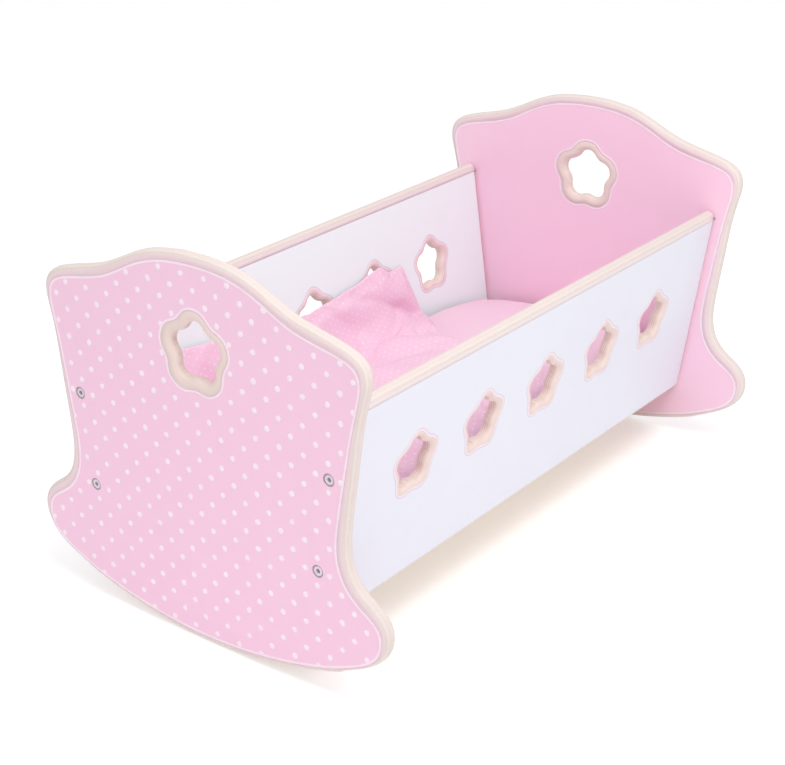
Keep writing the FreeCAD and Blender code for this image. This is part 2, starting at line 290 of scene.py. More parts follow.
PINK = (srgb(247, 203, 226), srgb(249, 208, 229), srgb(242, 196, 221))
# painted light: the head panel's pink is a brighter copy of the foot panel's, standing in for more light on its inner
# face
PINK_HEAD_LIT = (srgb(250, 208, 229), srgb(251, 213, 232), srgb(246, 201, 225))
TINT, TINT_SIDE = srgb(243, 212, 226), srgb(241, 231, 234)
WHITE = (srgb(231, 231, 241), srgb(234, 235, 244), srgb(227, 227, 238))
# painted light: a brighter, bluer copy of the white paint for the left panel's inner face, standing in for light there
# and cancelling the pink bounce from the bedding
WHITE_LEFT_INNER_LIT = (srgb(241, 251, 251), srgb(243, 252, 253), srgb(237, 247, 249))
FOOT_SIZES = {"kind": "end", "mid": (Y_FOOT_OUT + Y_FOOT_IN) / 2, "t0": 0.984, "t1": 0.992, "wob": 0.004, "deep": 0.16}
HEAD_SIZES = dict(FOOT_SIZES, mid=(Y_HEAD_OUT + Y_HEAD_IN) / 2)
mat_foot = painted_ply("foot_panel_finish", PINK, (0, 1, 0), FOOT_SIZES)
mat_head = painted_ply("head_panel_finish", PINK_HEAD_LIT, (0, 1, 0), HEAD_SIZES)
mat_bare = {"foot": painted_ply("foot_panel_bare_wood", None, (0, 1, 0), FOOT_SIZES, TINT),
            "head": painted_ply("head_panel_bare_wood", None, (0, 1, 0), HEAD_SIZES, TINT)}


def side_hole(s):
    n = Vector((s * CC, 0, -SC))
    foot = Vector((s * FOOT_X, 0, FOOT_Z))
    up = Vector((s * SC, 0, CC))
    return n, {"kind": "side", "s": s, "mid": n.dot(foot), "v0": up.dot(foot) + SIDE_V, "t0": 0.955, "t1": 0.985, "wob": 0.02, "deep": 0.0}


mats_side = {}
for s, nm in ((-1, "left"), (1, "right")):
    n, h = side_hole(s)
    mats_side[s] = painted_ply(nm + "_panel_finish", WHITE if s > 0 else WHITE_LEFT_INNER_LIT, n, h, outer=WHITE)
    mat_bare[nm] = painted_ply(nm + "_panel_bare_wood", None, n, h, TINT_SIDE)


def bare_ply(name):
    m = Mat(name)
    P = m.co.outputs["Object"]
    N = m.co.outputs["Normal"]
    x, y, z = m.xyz(P)
    nx, ny, nz = m.xyz(N)
    g = m.noise(m.comb(m.math("MULTIPLY", x, 55), m.math("MULTIPLY", y, 3.2), m.math("MULTIPLY", z, 20)), 1.0, 6, 0.62, 0.6)
    fine = m.noise(m.comb(m.math("MULTIPLY", x, 900), m.math("MULTIPLY", y, 40), m.math("MULTIPLY", z, 300)), 1.0, 3, 0.6)
    col = m.mix(m.step(g, 0.38, 0.68), srgb(240, 220, 192), srgb(222, 190, 152))
    col = m.mix(m.math("MULTIPLY", m.step(fine, 0.5, 0.8), 0.3), col, srgb(192, 152, 112))
    lay = m.math("FRACT", m.math("DIVIDE", m.math("ADD", z, 1.0), 0.0012))
    line = m.math("MULTIPLY", m.step(m.math("ABSOLUTE", m.math("SUBTRACT", lay, 0.5)), 0.38, 0.48),
                  m.step(m.math("ABSOLUTE", nz), 0.6, 0.3))
    col = m.mix(m.math("MULTIPLY", line, 0.5), col, srgb(150, 108, 76))
    m.set(color=col, rough=m.lin(g, 0.3, 0.7, 0.55, 0.68), spec=0.3,
          normal=m.bump(m.math("ADD", g, m.math("MULTIPLY", fine, 0.6)), 0.00015, 0.5))
    return m.m


def zinc(name):
    m = Mat(name)
    P = m.co.outputs["Object"]
    x, y, z = m.xyz(P)
    # distance from the axis of the nearest screw
    far = None
    for zz in (0.0837 + D, 0.1484 + D):
        dx = m.math("SUBTRACT", m.math("ABSOLUTE", x), mid_x(zz))
        dz = m.math("SUBTRACT", z, zz)
        d = m.math("SQRT", m.math("ADD", m.math("MULTIPLY", dx, dx), m.math("MULTIPLY", dz, dz)))
        far = d if far is None else m.math("MINIMUM", far, d)
    ring = m.noise(m.comb(m.math("MULTIPLY", x, 1.0), m.math("MULTIPLY", y, 1.0), m.math("MULTIPLY", z, 1.0)), 1600, 3, 0.6)
    cloud = m.noise(P, 240, 3, 0.6)
    col = m.mix(m.step(cloud, 0.3, 0.7), srgb(226, 214, 224), srgb(206, 194, 206))
    # painted shade: the colour darkens where ambient occlusion finds the recesses of the head and its socket
    ao = m.node("ShaderNodeAmbientOcclusion", samples=8)
    ao.inputs["Distance"].default_value = 0.0025
    dark = m.step(ao.outputs["AO"], 0.30, 0.85)
    col = m.mix(dark, srgb(136, 128, 138), col)
    # painted shade: darker round the rim of the head, where it sits in the countersink; painted light: the socket is
    # made lighter to lift its shade, and it is less metallic
    rim = m.step(m.math("ADD", far, m.math("MULTIPLY", m.math("SUBTRACT", cloud, 0.5), 0.0006)), 0.0029, 0.0034)
    rim = m.math("MULTIPLY", rim, m.step(m.math("ABSOLUTE", y), Y_HEAD_OUT - 0.0016, Y_HEAD_OUT - 0.0012))
    col = m.mix(m.math("MULTIPLY", rim, 0.75), col, srgb(150, 136, 152))
    socket = m.step(far, 0.0023, 0.0017)
    col = m.mix(m.math("MULTIPLY", socket, 0.7), col, srgb(232, 222, 230))
    m.set(color=col, metal=m.fmix(socket, 0.55, 0.12), rough=m.lin(cloud, 0.3, 0.7, 0.26, 0.42), normal=m.bump(ring, 0.00004, 0.5))
    return m.m


def set_mat(obj, mat):
    if len(obj.material_slots) == 0:
        obj.data.materials.append(mat)
    for s in obj.material_slots:
        s.material = mat


set_mat(NODES["foot_end_panel"], mat_foot)
set_mat(NODES["head_end_panel"], mat_head)
set_mat(NODES["left_side_panel"], mats_side[-1])
set_mat(NODES["right_side_panel"], mats_side[1])
set_mat(NODES["base_board"], bare_ply("base_board_finish"))
mat_zinc = zinc("zinc_finish")
set_mat(NODES["foot_end_screws"], mat_zinc)
set_mat(NODES["head_end_screws"], mat_zinc)


def print_paint(name, c0, c1, c2):
    """Screen-printed paint of the stripes and dots."""
    m = Mat(name)
    P = m.co.outputs["Object"]
    a = m.noise(P, 90, 3, 0.6)
    b = m.noise(P, 900, 2, 0.6)
    col = m.mix(m.step(a, 0.35, 0.7), c0, c1)
    col = m.mix(m.math("MULTIPLY", m.step(b, 0.52, 0.8), 0.35), col, c2)
    m.set(color=col, rough=m.lin(b, 0.3, 0.7, 0.38, 0.5), spec=0.45, coat=0.15, coat_rough=0.3,
          normal=m.bump(b, 0.00003, 0.5))
    return m.m


mat_stripe = print_paint("stripe_print", srgb(252, 232, 243), srgb(250, 226, 240), srgb(247, 216, 233))
mat_dot = print_paint("dot_print", srgb(252, 236, 246), srgb(251, 231, 243), srgb(247, 216, 234))
# painted shadow: a thin darker line where the paint ends, outside each stripe, made with the print material
mat_edge_shadow_line = print_paint("paint_edge_shadow_line", srgb(232, 203, 213), srgb(226, 196, 204), srgb(218, 186, 192))
mat_ring = print_paint("ring_print", srgb(249, 232, 240), srgb(247, 227, 237), srgb(244, 218, 231))
mat_lilac = print_paint("ring_line_print", srgb(220, 207, 220), srgb(226, 213, 226), srgb(231, 220, 231))


# ------------------------------------------------------------------ end panel outline
# HALF: the curve the printed stripe is measured from; EDGE: the true edge of the panel
HALF = [(17.1, 265.2), (32.9, 262.6), (47.6, 257.8), (62.7, 250.3), (77.4, 243.0),
        (92.4, 238.5), (110.5, 234.6), (122.7, 230.6), (129.6, 224.9),
        (132.0, 216.7), (130.5, 205.9), (126.7, 190.2), (123.1, 172.7),
        (119.6, 153.3), (116.3, 134.4), (113.6, 116.9), (112.8, 102.2),
        (115.1, 90.0), (120.5, 80.1), (129.1, 72.4), (138.6, 66.0),
        (145.0, 58.7), (146.8, 49.5), (144.4, 40.3), (137.7, 32.2),
        (126.2, 25.0), (113.0, 19.3)]
EDGE = [(17.3, 266.6), (33.3, 264.1), (48.2, 259.2), (63.5, 251.9), (78.4, 245.4), (93.1, 241.2),
        (111.1, 236.8), (123.7, 232.3), (131.2, 225.9), (133.6, 216.9), (131.8, 205.7), (128.1, 189.9),
        (125.4, 172.3), (122.8, 152.7), (120.1, 133.8), (118.0, 116.4), (117.7, 102.6), (119.9, 91.8),
        (124.6, 83.3), (132.0, 76.3), (141.5, 69.3), (148.1, 60.2), (149.0, 49.5), (145.2, 39.9),
        (137.8, 32.1), (126.3, 24.8), (113.4, 18.4)]


def clamped_spline(pts, t0, t1, per=12):
    """Cubic spline through pts (chord length parameter) with unit end tangents."""
    p = np.array(pts, float)
    u = np.r_[0, np.cumsum(np.linalg.norm(np.diff(p, axis=0), axis=1))]
    h = np.diff(u)
    n = len(p)
    A = np.zeros((n, n))
    B = np.zeros((n, 2))
    A[0, 0], A[0, 1] = 2 * h[0], h[0]
    B[0] = 6 * ((p[1] - p[0]) / h[0] - t0)
    A[-1, -1], A[-1, -2] = 2 * h[-1], h[-1]
    B[-1] = 6 * (t1 - (p[-1] - p[-2]) / h[-1])
    for i in range(1, n - 1):
        A[i, i - 1], A[i, i], A[i, i + 1] = h[i - 1], 2 * (h[i - 1] + h[i]), h[i]
        B[i] = 6 * ((p[i + 1] - p[i]) / h[i] - (p[i] - p[i - 1]) / h[i - 1])
    M = np.linalg.solve(A, B)
    out = []
    for i in range(n - 1):
        for k in range(per):
            t = k / per * h[i]
            a, b = M[i], M[i + 1]
            q = (a * (h[i] - t) ** 3 + b * t ** 3) / (6 * h[i]) + (p[i] / h[i] - a * h[i] / 6) * (h[i] - t) \
                + (p[i + 1] / h[i] - b * h[i] / 6) * t
            out.append(q)
    out.append(p[-1])
    return np.array(out)


def resample(c, step):
    q = np.vstack([c, c[:1]])
    u = np.r_[0, np.cumsum(np.linalg.norm(np.diff(q, axis=0), axis=1))]
    n = int(round(u[-1] / step))
    t = np.linspace(0, u[-1], n, endpoint=False)
    return np.c_[np.interp(t, u, q[:, 0]), np.interp(t, u, q[:, 1])]


def outline_mm(table, top, rad, low):
    """Closed outline in mm above the floor: hump, waist and lobes from the table, rocker arc."""
    half = 100.0
    phi = math.asin(half / rad)
    az = rad * (1 - math.cos(phi)) + low
    right = clamped_spline([(0.0, top)] + table + [(half, az)],
                           np.array([1.0, 0.0]), np.array([-math.cos(phi), -math.sin(phi)]))
    a = np.linspace(phi, -phi, 120)[1:-1]
    arc = np.c_[rad * np.sin(a), rad * (1 - np.cos(a)) + low]
    left = (right * [-1, 1])[::-1][:-1]
    return resample(np.vstack([right, arc, left]), 1.3) + [0, D_MM]


def normals2(c):
    t = np.roll(c, -2, 0) - np.roll(c, 2, 0)
    t /= np.linalg.norm(t, axis=1)[:, None]
    n = np.c_[t[:, 1], -t[:, 0]]
    if ((c - c.mean(0)) * n).sum() < 0:
        n = -n
    return n


OUT = outline_mm(HALF, 266.0, 352.0, 0.0)
OUT_N = normals2(OUT)
RIM = outline_mm(EDGE, 267.4, 338.0, -D_MM)
RIM_N = normals2(RIM)


def outwards(c, n):
    """How far the panel's edge lies outside each point of curve c, mm."""
    d = np.linalg.norm(c[:, None] - RIM[None], axis=2)
    j = d.argmin(1)
    return np.einsum("ij,ij->i", RIM[j] - c, RIM_N[j])


BEYOND = outwards(OUT, OUT_N)
for _ in range(6):
    BEYOND = (np.roll(BEYOND, 1) + BEYOND * 2 + np.roll(BEYOND, -1)) / 4
INSET = np.interp(OUT[:, 1] - D_MM, [0, 31, 50, 78, 120, 205, 224, 266], [2.8, 3.5, 4.0, 3.5, 3.1, 3.5, 5.4, 6.0])
for _ in range(12):
    INSET = (np.roll(INSET, 1) + INSET * 2 + np.roll(INSET, -1)) / 4


def r_end(th):
    return 27.76 + 2.08 * np.cos(5 * th) - 0.34 * np.cos(10 * th)


def r_side(th):
    return 22.4 + 2.1 * np.cos(5 * th)


def polar(fn, off, n=180):
    th = np.linspace(0, 2 * math.pi, n, endpoint=False)
    r = fn(th)
    c = np.c_[r * np.sin(th), r * np.cos(th)]
    return c + normals2(c) * off


# ------------------------------------------------------------------ printed stripes
def ribbon_rings(a, b, h=0.10, sink=0.12):
    """Cross-section rings of a printed line between two closed 2D curves a (outer) and b (inner).
    Returns a list of (2D point, height) loops."""
    return [(a, -sink), (a * 0.92 + b * 0.08, h * 0.85), ((a + b) / 2, h), (a * 0.08 + b * 0.92, h * 0.85), (b, -sink)]


def mesh_object(name, verts, faces, mat, body, smooth=True):
    me = bpy.data.meshes.new(name)
    me.from_pydata([tuple(v) for v in verts], [], faces)
    bm = bmesh.new()
    bm.from_mesh(me)
    bmesh.ops.recalc_face_normals(bm, faces=bm.faces)
    bm.to_mesh(me)
    bm.free()
    me.update()
    for p in me.polygons:
        p.use_smooth = smooth
    o = bpy.data.objects.new(name, me)
    coll.objects.link(o)
    for m in (mat if isinstance(mat, (list, tuple)) else [mat]):
        me.materials.append(m)
    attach(o, body)
    return o


def add_ribbon(verts, faces, a, b, place, h=0.10):
    add_rings(verts, faces, ribbon_rings(a, b, h), place)


def bullnose_drop(d):
    """How far the rounded edge has fallen away from the face, d mm in from the panel's edge."""
    d = min(max(d, 0.0), EDGE_R)
    return EDGE_R - math.sqrt(max(EDGE_R ** 2 - (EDGE_R - d) ** 2, 0.0))


def bare_rings(edge_curve, edge_normal, inner, start=0.03):
    """Bare wood from the printed line out to where the rounding starts.
    edge_curve: the panel's edge matched point by point to inner, edge_normal points off the panel."""
    rings = [(edge_curve - edge_normal * 0.70 * EDGE_R, -0.45)]
    for k in (0.735, 0.80, 0.88, 1.0):
        rings.append((edge_curve - edge_normal * k * EDGE_R, start - bullnose_drop(k * EDGE_R)))
    rings.append((inner, start))
    rings.append((inner, -0.2))
    return rings


def add_rings(verts, faces, rings, place):
    base = len(verts)
    n, k = len(rings[0][0]), len(rings)
    for c, hh in rings:
        for q in c:
            verts.append(place(q, hh))
    for r in range(k):
        r2 = (r + 1) % k
        for i in range(n):
            j = (i + 1) % n
            faces.append((base + r * n + i, base + r * n + j, base + r2 * n + j, base + r2 * n + i))


def on_y(y, sgn):
    """Places a 2D point (x, z) mm on the plane y with height along sgn*Y."""
    return lambda q, h: (q[0] * MM, y + sgn * h * MM, q[1] * MM)


def on_side(s, out):
    """2D (y, v) mm on a side panel's outer (out=1) or inner (out=-1) face."""
    n = Vector((s * CC, 0, -SC)) * out
    up = Vector((s * SC, 0, CC))
    foot = Vector((s * FOOT_X, 0, FOOT_Z))

    def f(q, h):
        p = foot + up * (q[1] * MM) + n * (PLY / 2 + h * MM)
        return (p.x, q[0] * MM, p.z)
    return f


STRIPE_W = 1.8
EDGE_LINE = 0.7                          # shadow line where the paint ends, outside each stripe


def flower_mm(tip, valley, lobe, n=180):
    """Cut-out of five round petals joined by tangent hollows, one petal up."""
    c36 = math.cos(math.radians(36))
    d = tip - lobe
    rv = (lobe ** 2 - d ** 2 - valley ** 2 + 2 * d * valley * c36) / (2 * (valley - d * c36 - lobe))
    dv = valley + rv
    out = []
    for th in np.linspace(0, 2 * math.pi, n, endpoint=False):
        a = (th + math.pi / 5) % (2 * math.pi / 5) - math.pi / 5      # angle from the nearest petal
        # on the petal's arc unless that lies beyond the join with the hollow
        s = lobe ** 2 - (d * math.sin(a)) ** 2
        r = d * math.cos(a) + math.sqrt(max(s, 0))
        b = math.pi / 5 - abs(a)
        s2 = rv ** 2 - (dv * math.sin(b)) ** 2
        join = math.atan2(dv * math.sin(math.pi / 5) * lobe / (lobe + rv),
                          d + (dv * c36 - d) * lobe / (lobe + rv))
        if abs(a) > join and s2 > 0:
            r = dv * math.cos(b) - math.sqrt(s2)
        out.append((r * math.sin(th), r * math.cos(th)))
    return np.array(out)


END_HOLE = flower_mm(20.6, 16.6, 7.7)
SIDE_HOLE = flower_mm(18.0, 14.4, 6.6)


def hole_rings(hole, c, inner_fn, off, round_r):
    """Bare wood round a cut-out, from the printed line in to the rounding."""
    inner = polar(inner_fn, off)
    nh = normals2(hole)
    k = round_r / EDGE_R
    rings = [(hole + nh * 0.70 * round_r + c, -0.45)]
    for q in (0.735, 0.80, 0.88, 1.0):
        rings.append((hole + nh * q * round_r + c, 0.03 - bullnose_drop(q * EDGE_R) * k))
    rings.append((inner + c, 0.03))
    rings.append((inner + c, -0.2))
    return rings


for nm, faces_y, wood in (("foot_end", ((Y_FOOT_OUT, -1), (Y_FOOT_IN, 1)), "foot"),
                          ("head_end", ((Y_HEAD_OUT, 1), (Y_HEAD_IN, -1)), "head")):
    v, f, v2, f2, v3, f3 = [], [], [], [], [], []
    for y, sgn in faces_y:
        pl = on_y(y, sgn)
        so = OUT - OUT_N * (INSET - STRIPE_W / 2)[:, None]
        add_ribbon(v, f, so, OUT - OUT_N * (INSET + STRIPE_W / 2)[:, None], pl)
        add_ribbon(v2, f2, so + OUT_N * EDGE_LINE, so - OUT_N * 0.2, pl, 0.07)
        add_rings(v3, f3, bare_rings(OUT + OUT_N * BEYOND[:, None], OUT_N, so - OUT_N * 0.3), pl)
        c = np.array([0, END_FLOWER_Z * 1000])
        add_ribbon(v, f, polar(r_end, 0.85) + c, polar(r_end, -0.85) + c, pl)
        add_ribbon(v2, f2, polar(r_end, -0.65) + c, polar(r_end, -0.85 - EDGE_LINE) + c, pl, 0.07)
        add_rings(v3, f3, hole_rings(END_HOLE, c, r_end, -0.5, EDGE_R), pl)
    mesh_object(nm + "_stripes", v, f, mat_stripe, "frame")
    mesh_object(nm + "_paint_edges", v2, f2, mat_edge_shadow_line, "frame")
    mesh_object(nm + "_bare_borders", v3, f3, mat_bare[wood], "frame")

SIDE_R = 3.6
SIDE_W, SIDE_CORNER, SIDE_BARE = 154.6, 4.6, 2.6      # height up the slope, corner radius, bare strip


def top_strip(verts, faces, place):
    """Bare wood along the upper edge, from the rounding down to where the white paint starts."""
    L = Y_FOOT_IN / -MM
    rows = [(SIDE_W - k * EDGE_R, 0.03 - bullnose_drop(k * EDGE_R), L - SIDE_CORNER) for k in (0.735, 0.80, 0.88, 1.0)]
    rows.insert(0, (SIDE_W - 0.70 * EDGE_R, -0.45, L - SIDE_CORNER))
    rows.append((SIDE_W - SIDE_CORNER - 0.3, 0.03, L - 0.2))
    rows.append((SIDE_W - EDGE_R - SIDE_BARE, 0.03, L - 0.2))
    rows.append((SIDE_W - EDGE_R - SIDE_BARE, -0.2, L - 0.2))
    n = 60
    base = len(verts)
    for v, h, ext in rows:
        for i in range(n):
            verts.append(place((ext * (2 * i / (n - 1) - 1), v), h))
    for r in range(len(rows)):
        r2 = (r + 1) % len(rows)
        for i in range(n - 1):
            faces.append((base + r * n + i, base + r * n + i + 1, base + r2 * n + i + 1, base + r2 * n + i))
    faces.append(tuple(base + r * n for r in range(len(rows))))
    faces.append(tuple(base + r * n + n - 1 for r in range(len(rows))))


for s, nm in ((-1, "left"), (1, "right")):
    v, f, v2, f2, v3, f3 = [], [], [], [], [], []
    for out in (1, -1):
        pl = on_side(s, out)
        for i in range(-2, 3):
            c = np.array([i * SIDE_PITCH * 1000, SIDE_V * 1000])
            add_ribbon(v2, f2, polar(r_side, 0.75) + c, polar(r_side, 0.0) + c, pl, 0.08)
            add_ribbon(v, f, polar(r_side, 0.0) + c, polar(r_side, -1.5) + c, pl, 0.10)
            add_rings(v3, f3, hole_rings(SIDE_HOLE, c, r_side, -1.2, SIDE_R), pl)
        top_strip(v3, f3, pl)
    mesh_object(nm + "_side_flower_rings", v, f, mat_ring, "frame")
    mesh_object(nm + "_side_flower_lines", v2, f2, mat_lilac, "frame")
    mesh_object(nm + "_side_flower_borders", v3, f3, mat_bare[nm], "frame")


# ------------------------------------------------------------------ printed dots
def clip_convex(poly, p0, n):
    """Keeps the part of poly where (q - p0).n <= 0."""
    out = []
    for i in range(len(poly)):
        a, b = poly[i], poly[(i + 1) % len(poly)]
        da, db = (a - p0) @ n, (b - p0) @ n
        if da <= 0:
            out.append(a)
        if da * db < 0:
            out.append(a + (b - a) * (da / (da - db)))
    return out


def dot_polys():
    """Convex dot outlines (mm, in x and z) inside the stripe and outside the flower stripe."""
    rng = np.random.RandomState(11)
    pitch, row = 18.84, 9.5
    inner = OUT - OUT_N * (INSET + STRIPE_W / 2 - 0.2)[:, None]
    fl = polar(r_end, 0.6) + np.array([0, END_FLOWER_Z * 1000])
    fl_n = normals2(fl)
    polys = []
    for k in range(-16, 17):
        z = 130.5 + D_MM + k * row
        x0 = 0.94 if k % 2 == 0 else 10.4
        for i in range(-10, 11):
            x = x0 + i * pitch
            if abs(x) > 150:
                continue
            c = np.array([x, z]) + rng.uniform(-0.22, 0.22, 2)
            r = 2.12 + rng.uniform(-0.12, 0.12)
            ph = rng.uniform(0, 6.28, 3)
            am = rng.uniform(0, 0.07, 3)
            th = np.linspace(0, 2 * math.pi, 20, endpoint=False)
            rr = r * (1 + am[0] * np.cos(2 * th + ph[0]) + 0.5 * am[1] * np.cos(3 * th + ph[1]))
            poly = [c + np.array([rr[j] * math.cos(th[j]), rr[j] * math.sin(th[j])]) for j in range(20)]
            d = np.linalg.norm(inner - c, axis=1)
            j = int(d.argmin())
            if (c - inner[j]) @ OUT_N[j] > 0.6:
                continue
            if d[j] < 4:
                poly = clip_convex(poly, inner[j], OUT_N[j])
            if len(poly) < 3:
                continue
            d2 = np.linalg.norm(fl - c, axis=1)
            j2 = int(d2.argmin())
            if (c - fl[j2]) @ fl_n[j2] < -0.6:
                continue
            if d2[j2] < 4:
                poly = clip_convex(poly, fl[j2], -fl_n[j2])
            hit = min(math.hypot(abs(x) - mid_x(zz * MM) * 1000, z - zz) for zz in (83.7 + D_MM, 148.4 + D_MM))
            if len(poly) >= 3:
                area = 0.5 * abs(sum(poly[a][0] * poly[(a + 1) % len(poly)][1] - poly[(a + 1) % len(poly)][0] * poly[a][1]
                                     for a in range(len(poly))))
                if area > 2.0 and hit > 6.3:
                    polys.append(poly)
    return polys


DOTS = dot_polys()
for nm, y, sgn, flip in (("foot_end", Y_FOOT_OUT, -1, 1), ("head_end", Y_HEAD_OUT, 1, -1)):
    v, f = [], []
    for poly in DOTS:
        c = sum(poly) / len(poly)
        n = len(poly)
        base = len(v)
        pl = on_y(y, sgn)
        for sc, h in ((1.0, -0.12), (0.95, 0.06), (0.55, 0.085)):
            for q in poly:
                w = c + (q - c) * sc
                v.append(pl((w[0] * flip, w[1]), h))
        for r in range(2):
            for i in range(n):
                j = (i + 1) % n
                f.append((base + r * n + i, base + r * n + j, base + (r + 1) * n + j, base + (r + 1) * n + i))
        f.append(tuple(base + i for i in range(n)))
        f.append(tuple(base + 2 * n + i for i in range(n)))
    mesh_object(nm + "_dots", v, f, mat_dot, "frame")


# ------------------------------------------------------------------ fabrics
def fabric(name, base, alt, dark, dots=False):
    """Plain-weave cotton; UVMap is in metres along the cloth."""
    m = Mat(name)
    uv = m.node("ShaderNodeUVMap", uv_map="UVMap").outputs[0]
    P = m.co.outputs["Object"]
    u, v, _ = m.xyz(uv)
    thread = 0.00042
    fu = m.math("MULTIPLY", u, 2 * math.pi / (2 * thread))
    fv = m.math("MULTIPLY", v, 2 * math.pi / (2 * thread))
    su, sv = m.math("SINE", fu), m.math("SINE", fv)
    # over and under of a plain weave
    check = m.math("MULTIPLY", su, sv)
    warp = m.math("POWER", m.math("ABSOLUTE", su), 0.7)
    weft = m.math("POWER", m.math("ABSOLUTE", sv), 0.7)
    weave = m.fmix(m.step(check, -0.3, 0.3), warp, weft)
    slub = m.noise(m.comb(m.math("MULTIPLY", u, 90), m.math("MULTIPLY", v, 1400), 0.0), 1.0, 2)
    slub2 = m.noise(m.comb(m.math("MULTIPLY", u, 1400), m.math("MULTIPLY", v, 90), 3.0), 1.0, 2)
    cloud = m.noise(P, 26, 3)
    fuzz = m.noise(P, 2600, 2, 0.7)
    col = m.mix(m.math("MULTIPLY", m.step(cloud, 0.35, 0.7), 0.35), base, alt)
    # painted shade: darker in the gaps between the threads, where the weave dips
    col = m.mix(m.math("MULTIPLY", m.step(weave, 0.65, 0.15), 0.30), col, dark)
    col = m.mix(m.math("MULTIPLY", m.step(m.math("ADD", slub, slub2), 0.95, 1.35), 0.22), col, alt)
    if dots:
        # small white dots printed in staggered rows
        pu, pv = 0.0058, 0.0052
        wu = m.math("ADD", u, m.math("MULTIPLY", m.math("SUBTRACT", m.noise(uv, 160, 2), 0.5), 0.0012))
        wv = m.math("ADD", v, m.math("MULTIPLY", m.math("SUBTRACT", m.noise(m.vmath("ADD", uv, (3, 7, 0)), 160, 2), 0.5), 0.0012))
        rowi = m.math("FLOOR", m.math("DIVIDE", m.math("ADD", wv, 2.0), pv))
        odd = m.math("MODULO", rowi, 2.0)
        cu = m.math("SUBTRACT", m.math("FRACT", m.math("ADD", m.math("DIVIDE", m.math("ADD", wu, 2.0), pu),
                                                       m.math("MULTIPLY", odd, 0.5))), 0.5)
        cv = m.math("SUBTRACT", m.math("FRACT", m.math("DIVIDE", m.math("ADD", wv, 2.0), pv)), 0.5)
        dd = m.math("SQRT", m.math("ADD", m.math("MULTIPLY", m.math("MULTIPLY", cu, pu), m.math("MULTIPLY", cu, pu)),
                                   m.math("MULTIPLY", m.math("MULTIPLY", cv, pv), m.math("MULTIPLY", cv, pv))))
        rag = m.math("MULTIPLY", m.math("SUBTRACT", m.noise(uv, 1900, 2), 0.5), 0.0004)
        dot = m.step(m.math("ADD", dd, rag), 0.00092, 0.00068)
        worn = m.lin(m.noise(uv, 230, 2), 0.3, 0.7, 0.45, 1.0)
        col = m.mix(m.math("MULTIPLY", dot, m.math("MULTIPLY", worn, 0.72)), col, srgb(255, 240, 248))
    m.set(color=col, rough=m.lin(fuzz, 0.3, 0.7, 0.78, 0.92), spec=0.2, sheen=0.35, sheen_rough=0.45,
          sheen_tint=srgb(255, 236, 246))
    h = m.math("ADD", weave, m.math("MULTIPLY", fuzz, 0.5))
    m.set(normal=m.bump(h, 0.00012, 0.6))
    return m.m


mat_mattress = fabric("mattress_cotton", srgb(247, 212, 230), srgb(249, 217, 233), srgb(236, 195, 216))
mat_quilt = fabric("quilt_cotton", srgb(247, 205, 226), srgb(249, 210, 229), srgb(235, 187, 211), dots=True)
mat_thread = print_paint("sewing_thread", srgb(251, 222, 236), srgb(246, 208, 227), srgb(236, 190, 214))


def cloth_relax(o, pressure, frames=20, shrink=0.0, pin=None, cap=0.006, mass=0.3, bend=0.5, tension=15.0):
    """Steps a pressure cloth and returns the rest positions and the capped result."""
    rest = np.array([v.co for v in o.data.vertices])
    if pin is not None:
        g = o.vertex_groups.new(name="pin")
        for i, w in enumerate(pin):
            if w > 0:
                g.add([i], float(w), "REPLACE")
    md = o.modifiers.new("cloth", "CLOTH")
    st = md.settings
    st.quality = 6
    st.mass = mass
    st.tension_stiffness = tension
    st.compression_stiffness = tension
    st.shear_stiffness = 5
    st.bending_stiffness = bend
    st.use_pressure = True
    st.uniform_pressure_force = pressure
    st.shrink_min = shrink
    st.effector_weights.gravity = 0.0
    if pin is not None:
        st.vertex_group_mass = "pin"
    md.collision_settings.use_collision = False
    md.collision_settings.use_self_collision = False
    md.point_cache.frame_start = 1
    md.point_cache.frame_end = frames
    for fr in range(1, frames + 1):
        scene.frame_set(fr)
    dg = bpy.context.evaluated_depsgraph_get()
    ev = o.evaluated_get(dg).to_mesh()
    co = np.array([v.co for v in ev.vertices])
    o.evaluated_get(dg).to_mesh_clear()
    o.modifiers.remove(md)
    scene.frame_set(1)
    d = co - rest
    L = np.linalg.norm(d, axis=1)
    k = np.where(L > cap, cap / np.maximum(L, 1e-9), 1.0)
    co = rest + d * k[:, None]
    return rest, co


def write(o, co):
    o.data.vertices.foreach_set("co", np.asarray(co, np.float32).ravel())
    o.data.update()


# ------------------------------------------------------------------ mattress
lo_m, hi_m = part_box("mattress_cover")
ZB = lo_m.z
GAP = 0.0010


def mattress_top(x, y):
    """Height of the mattress' upper face in metres: crowned, falling off near its ends."""
    X, Y = x * 1000, y * 1000
    ay = abs(Y)
    e = np.interp(ay, [0, 60, 120, 150, 166, 188, 203, 218, 231], [90.6, 90.6, 90.3, 89.6, 88.0, 84.8, 82.4, 79.0, 76.0])
    c = np.interp(ay, [0, 120, 160, 190, 205, 218, 231], [93.0, 92.9, 92.4, 91.0, 89.4, 87.2, 83.0])
    t = min(1.0, abs(X) / 93.0)
    w = t ** 2.2
    return (c * (1 - w) + e * w) * MM + D


def inside_tub(co, g=0.0006):
    """Keeps points clear of the tub: side panels, end panels and base board."""
    z = co[:, 2]
    lim = FOOT_X + TC * (z - FOOT_Z) - PLY / 2 / CC - g
    co[:, 0] = np.clip(co[:, 0], -lim, lim)
    co[:, 1] = np.clip(co[:, 1], Y_FOOT_IN + g, Y_HEAD_IN - g)
    co[:, 2] = np.maximum(z, ZB - 0.0004)
    return co


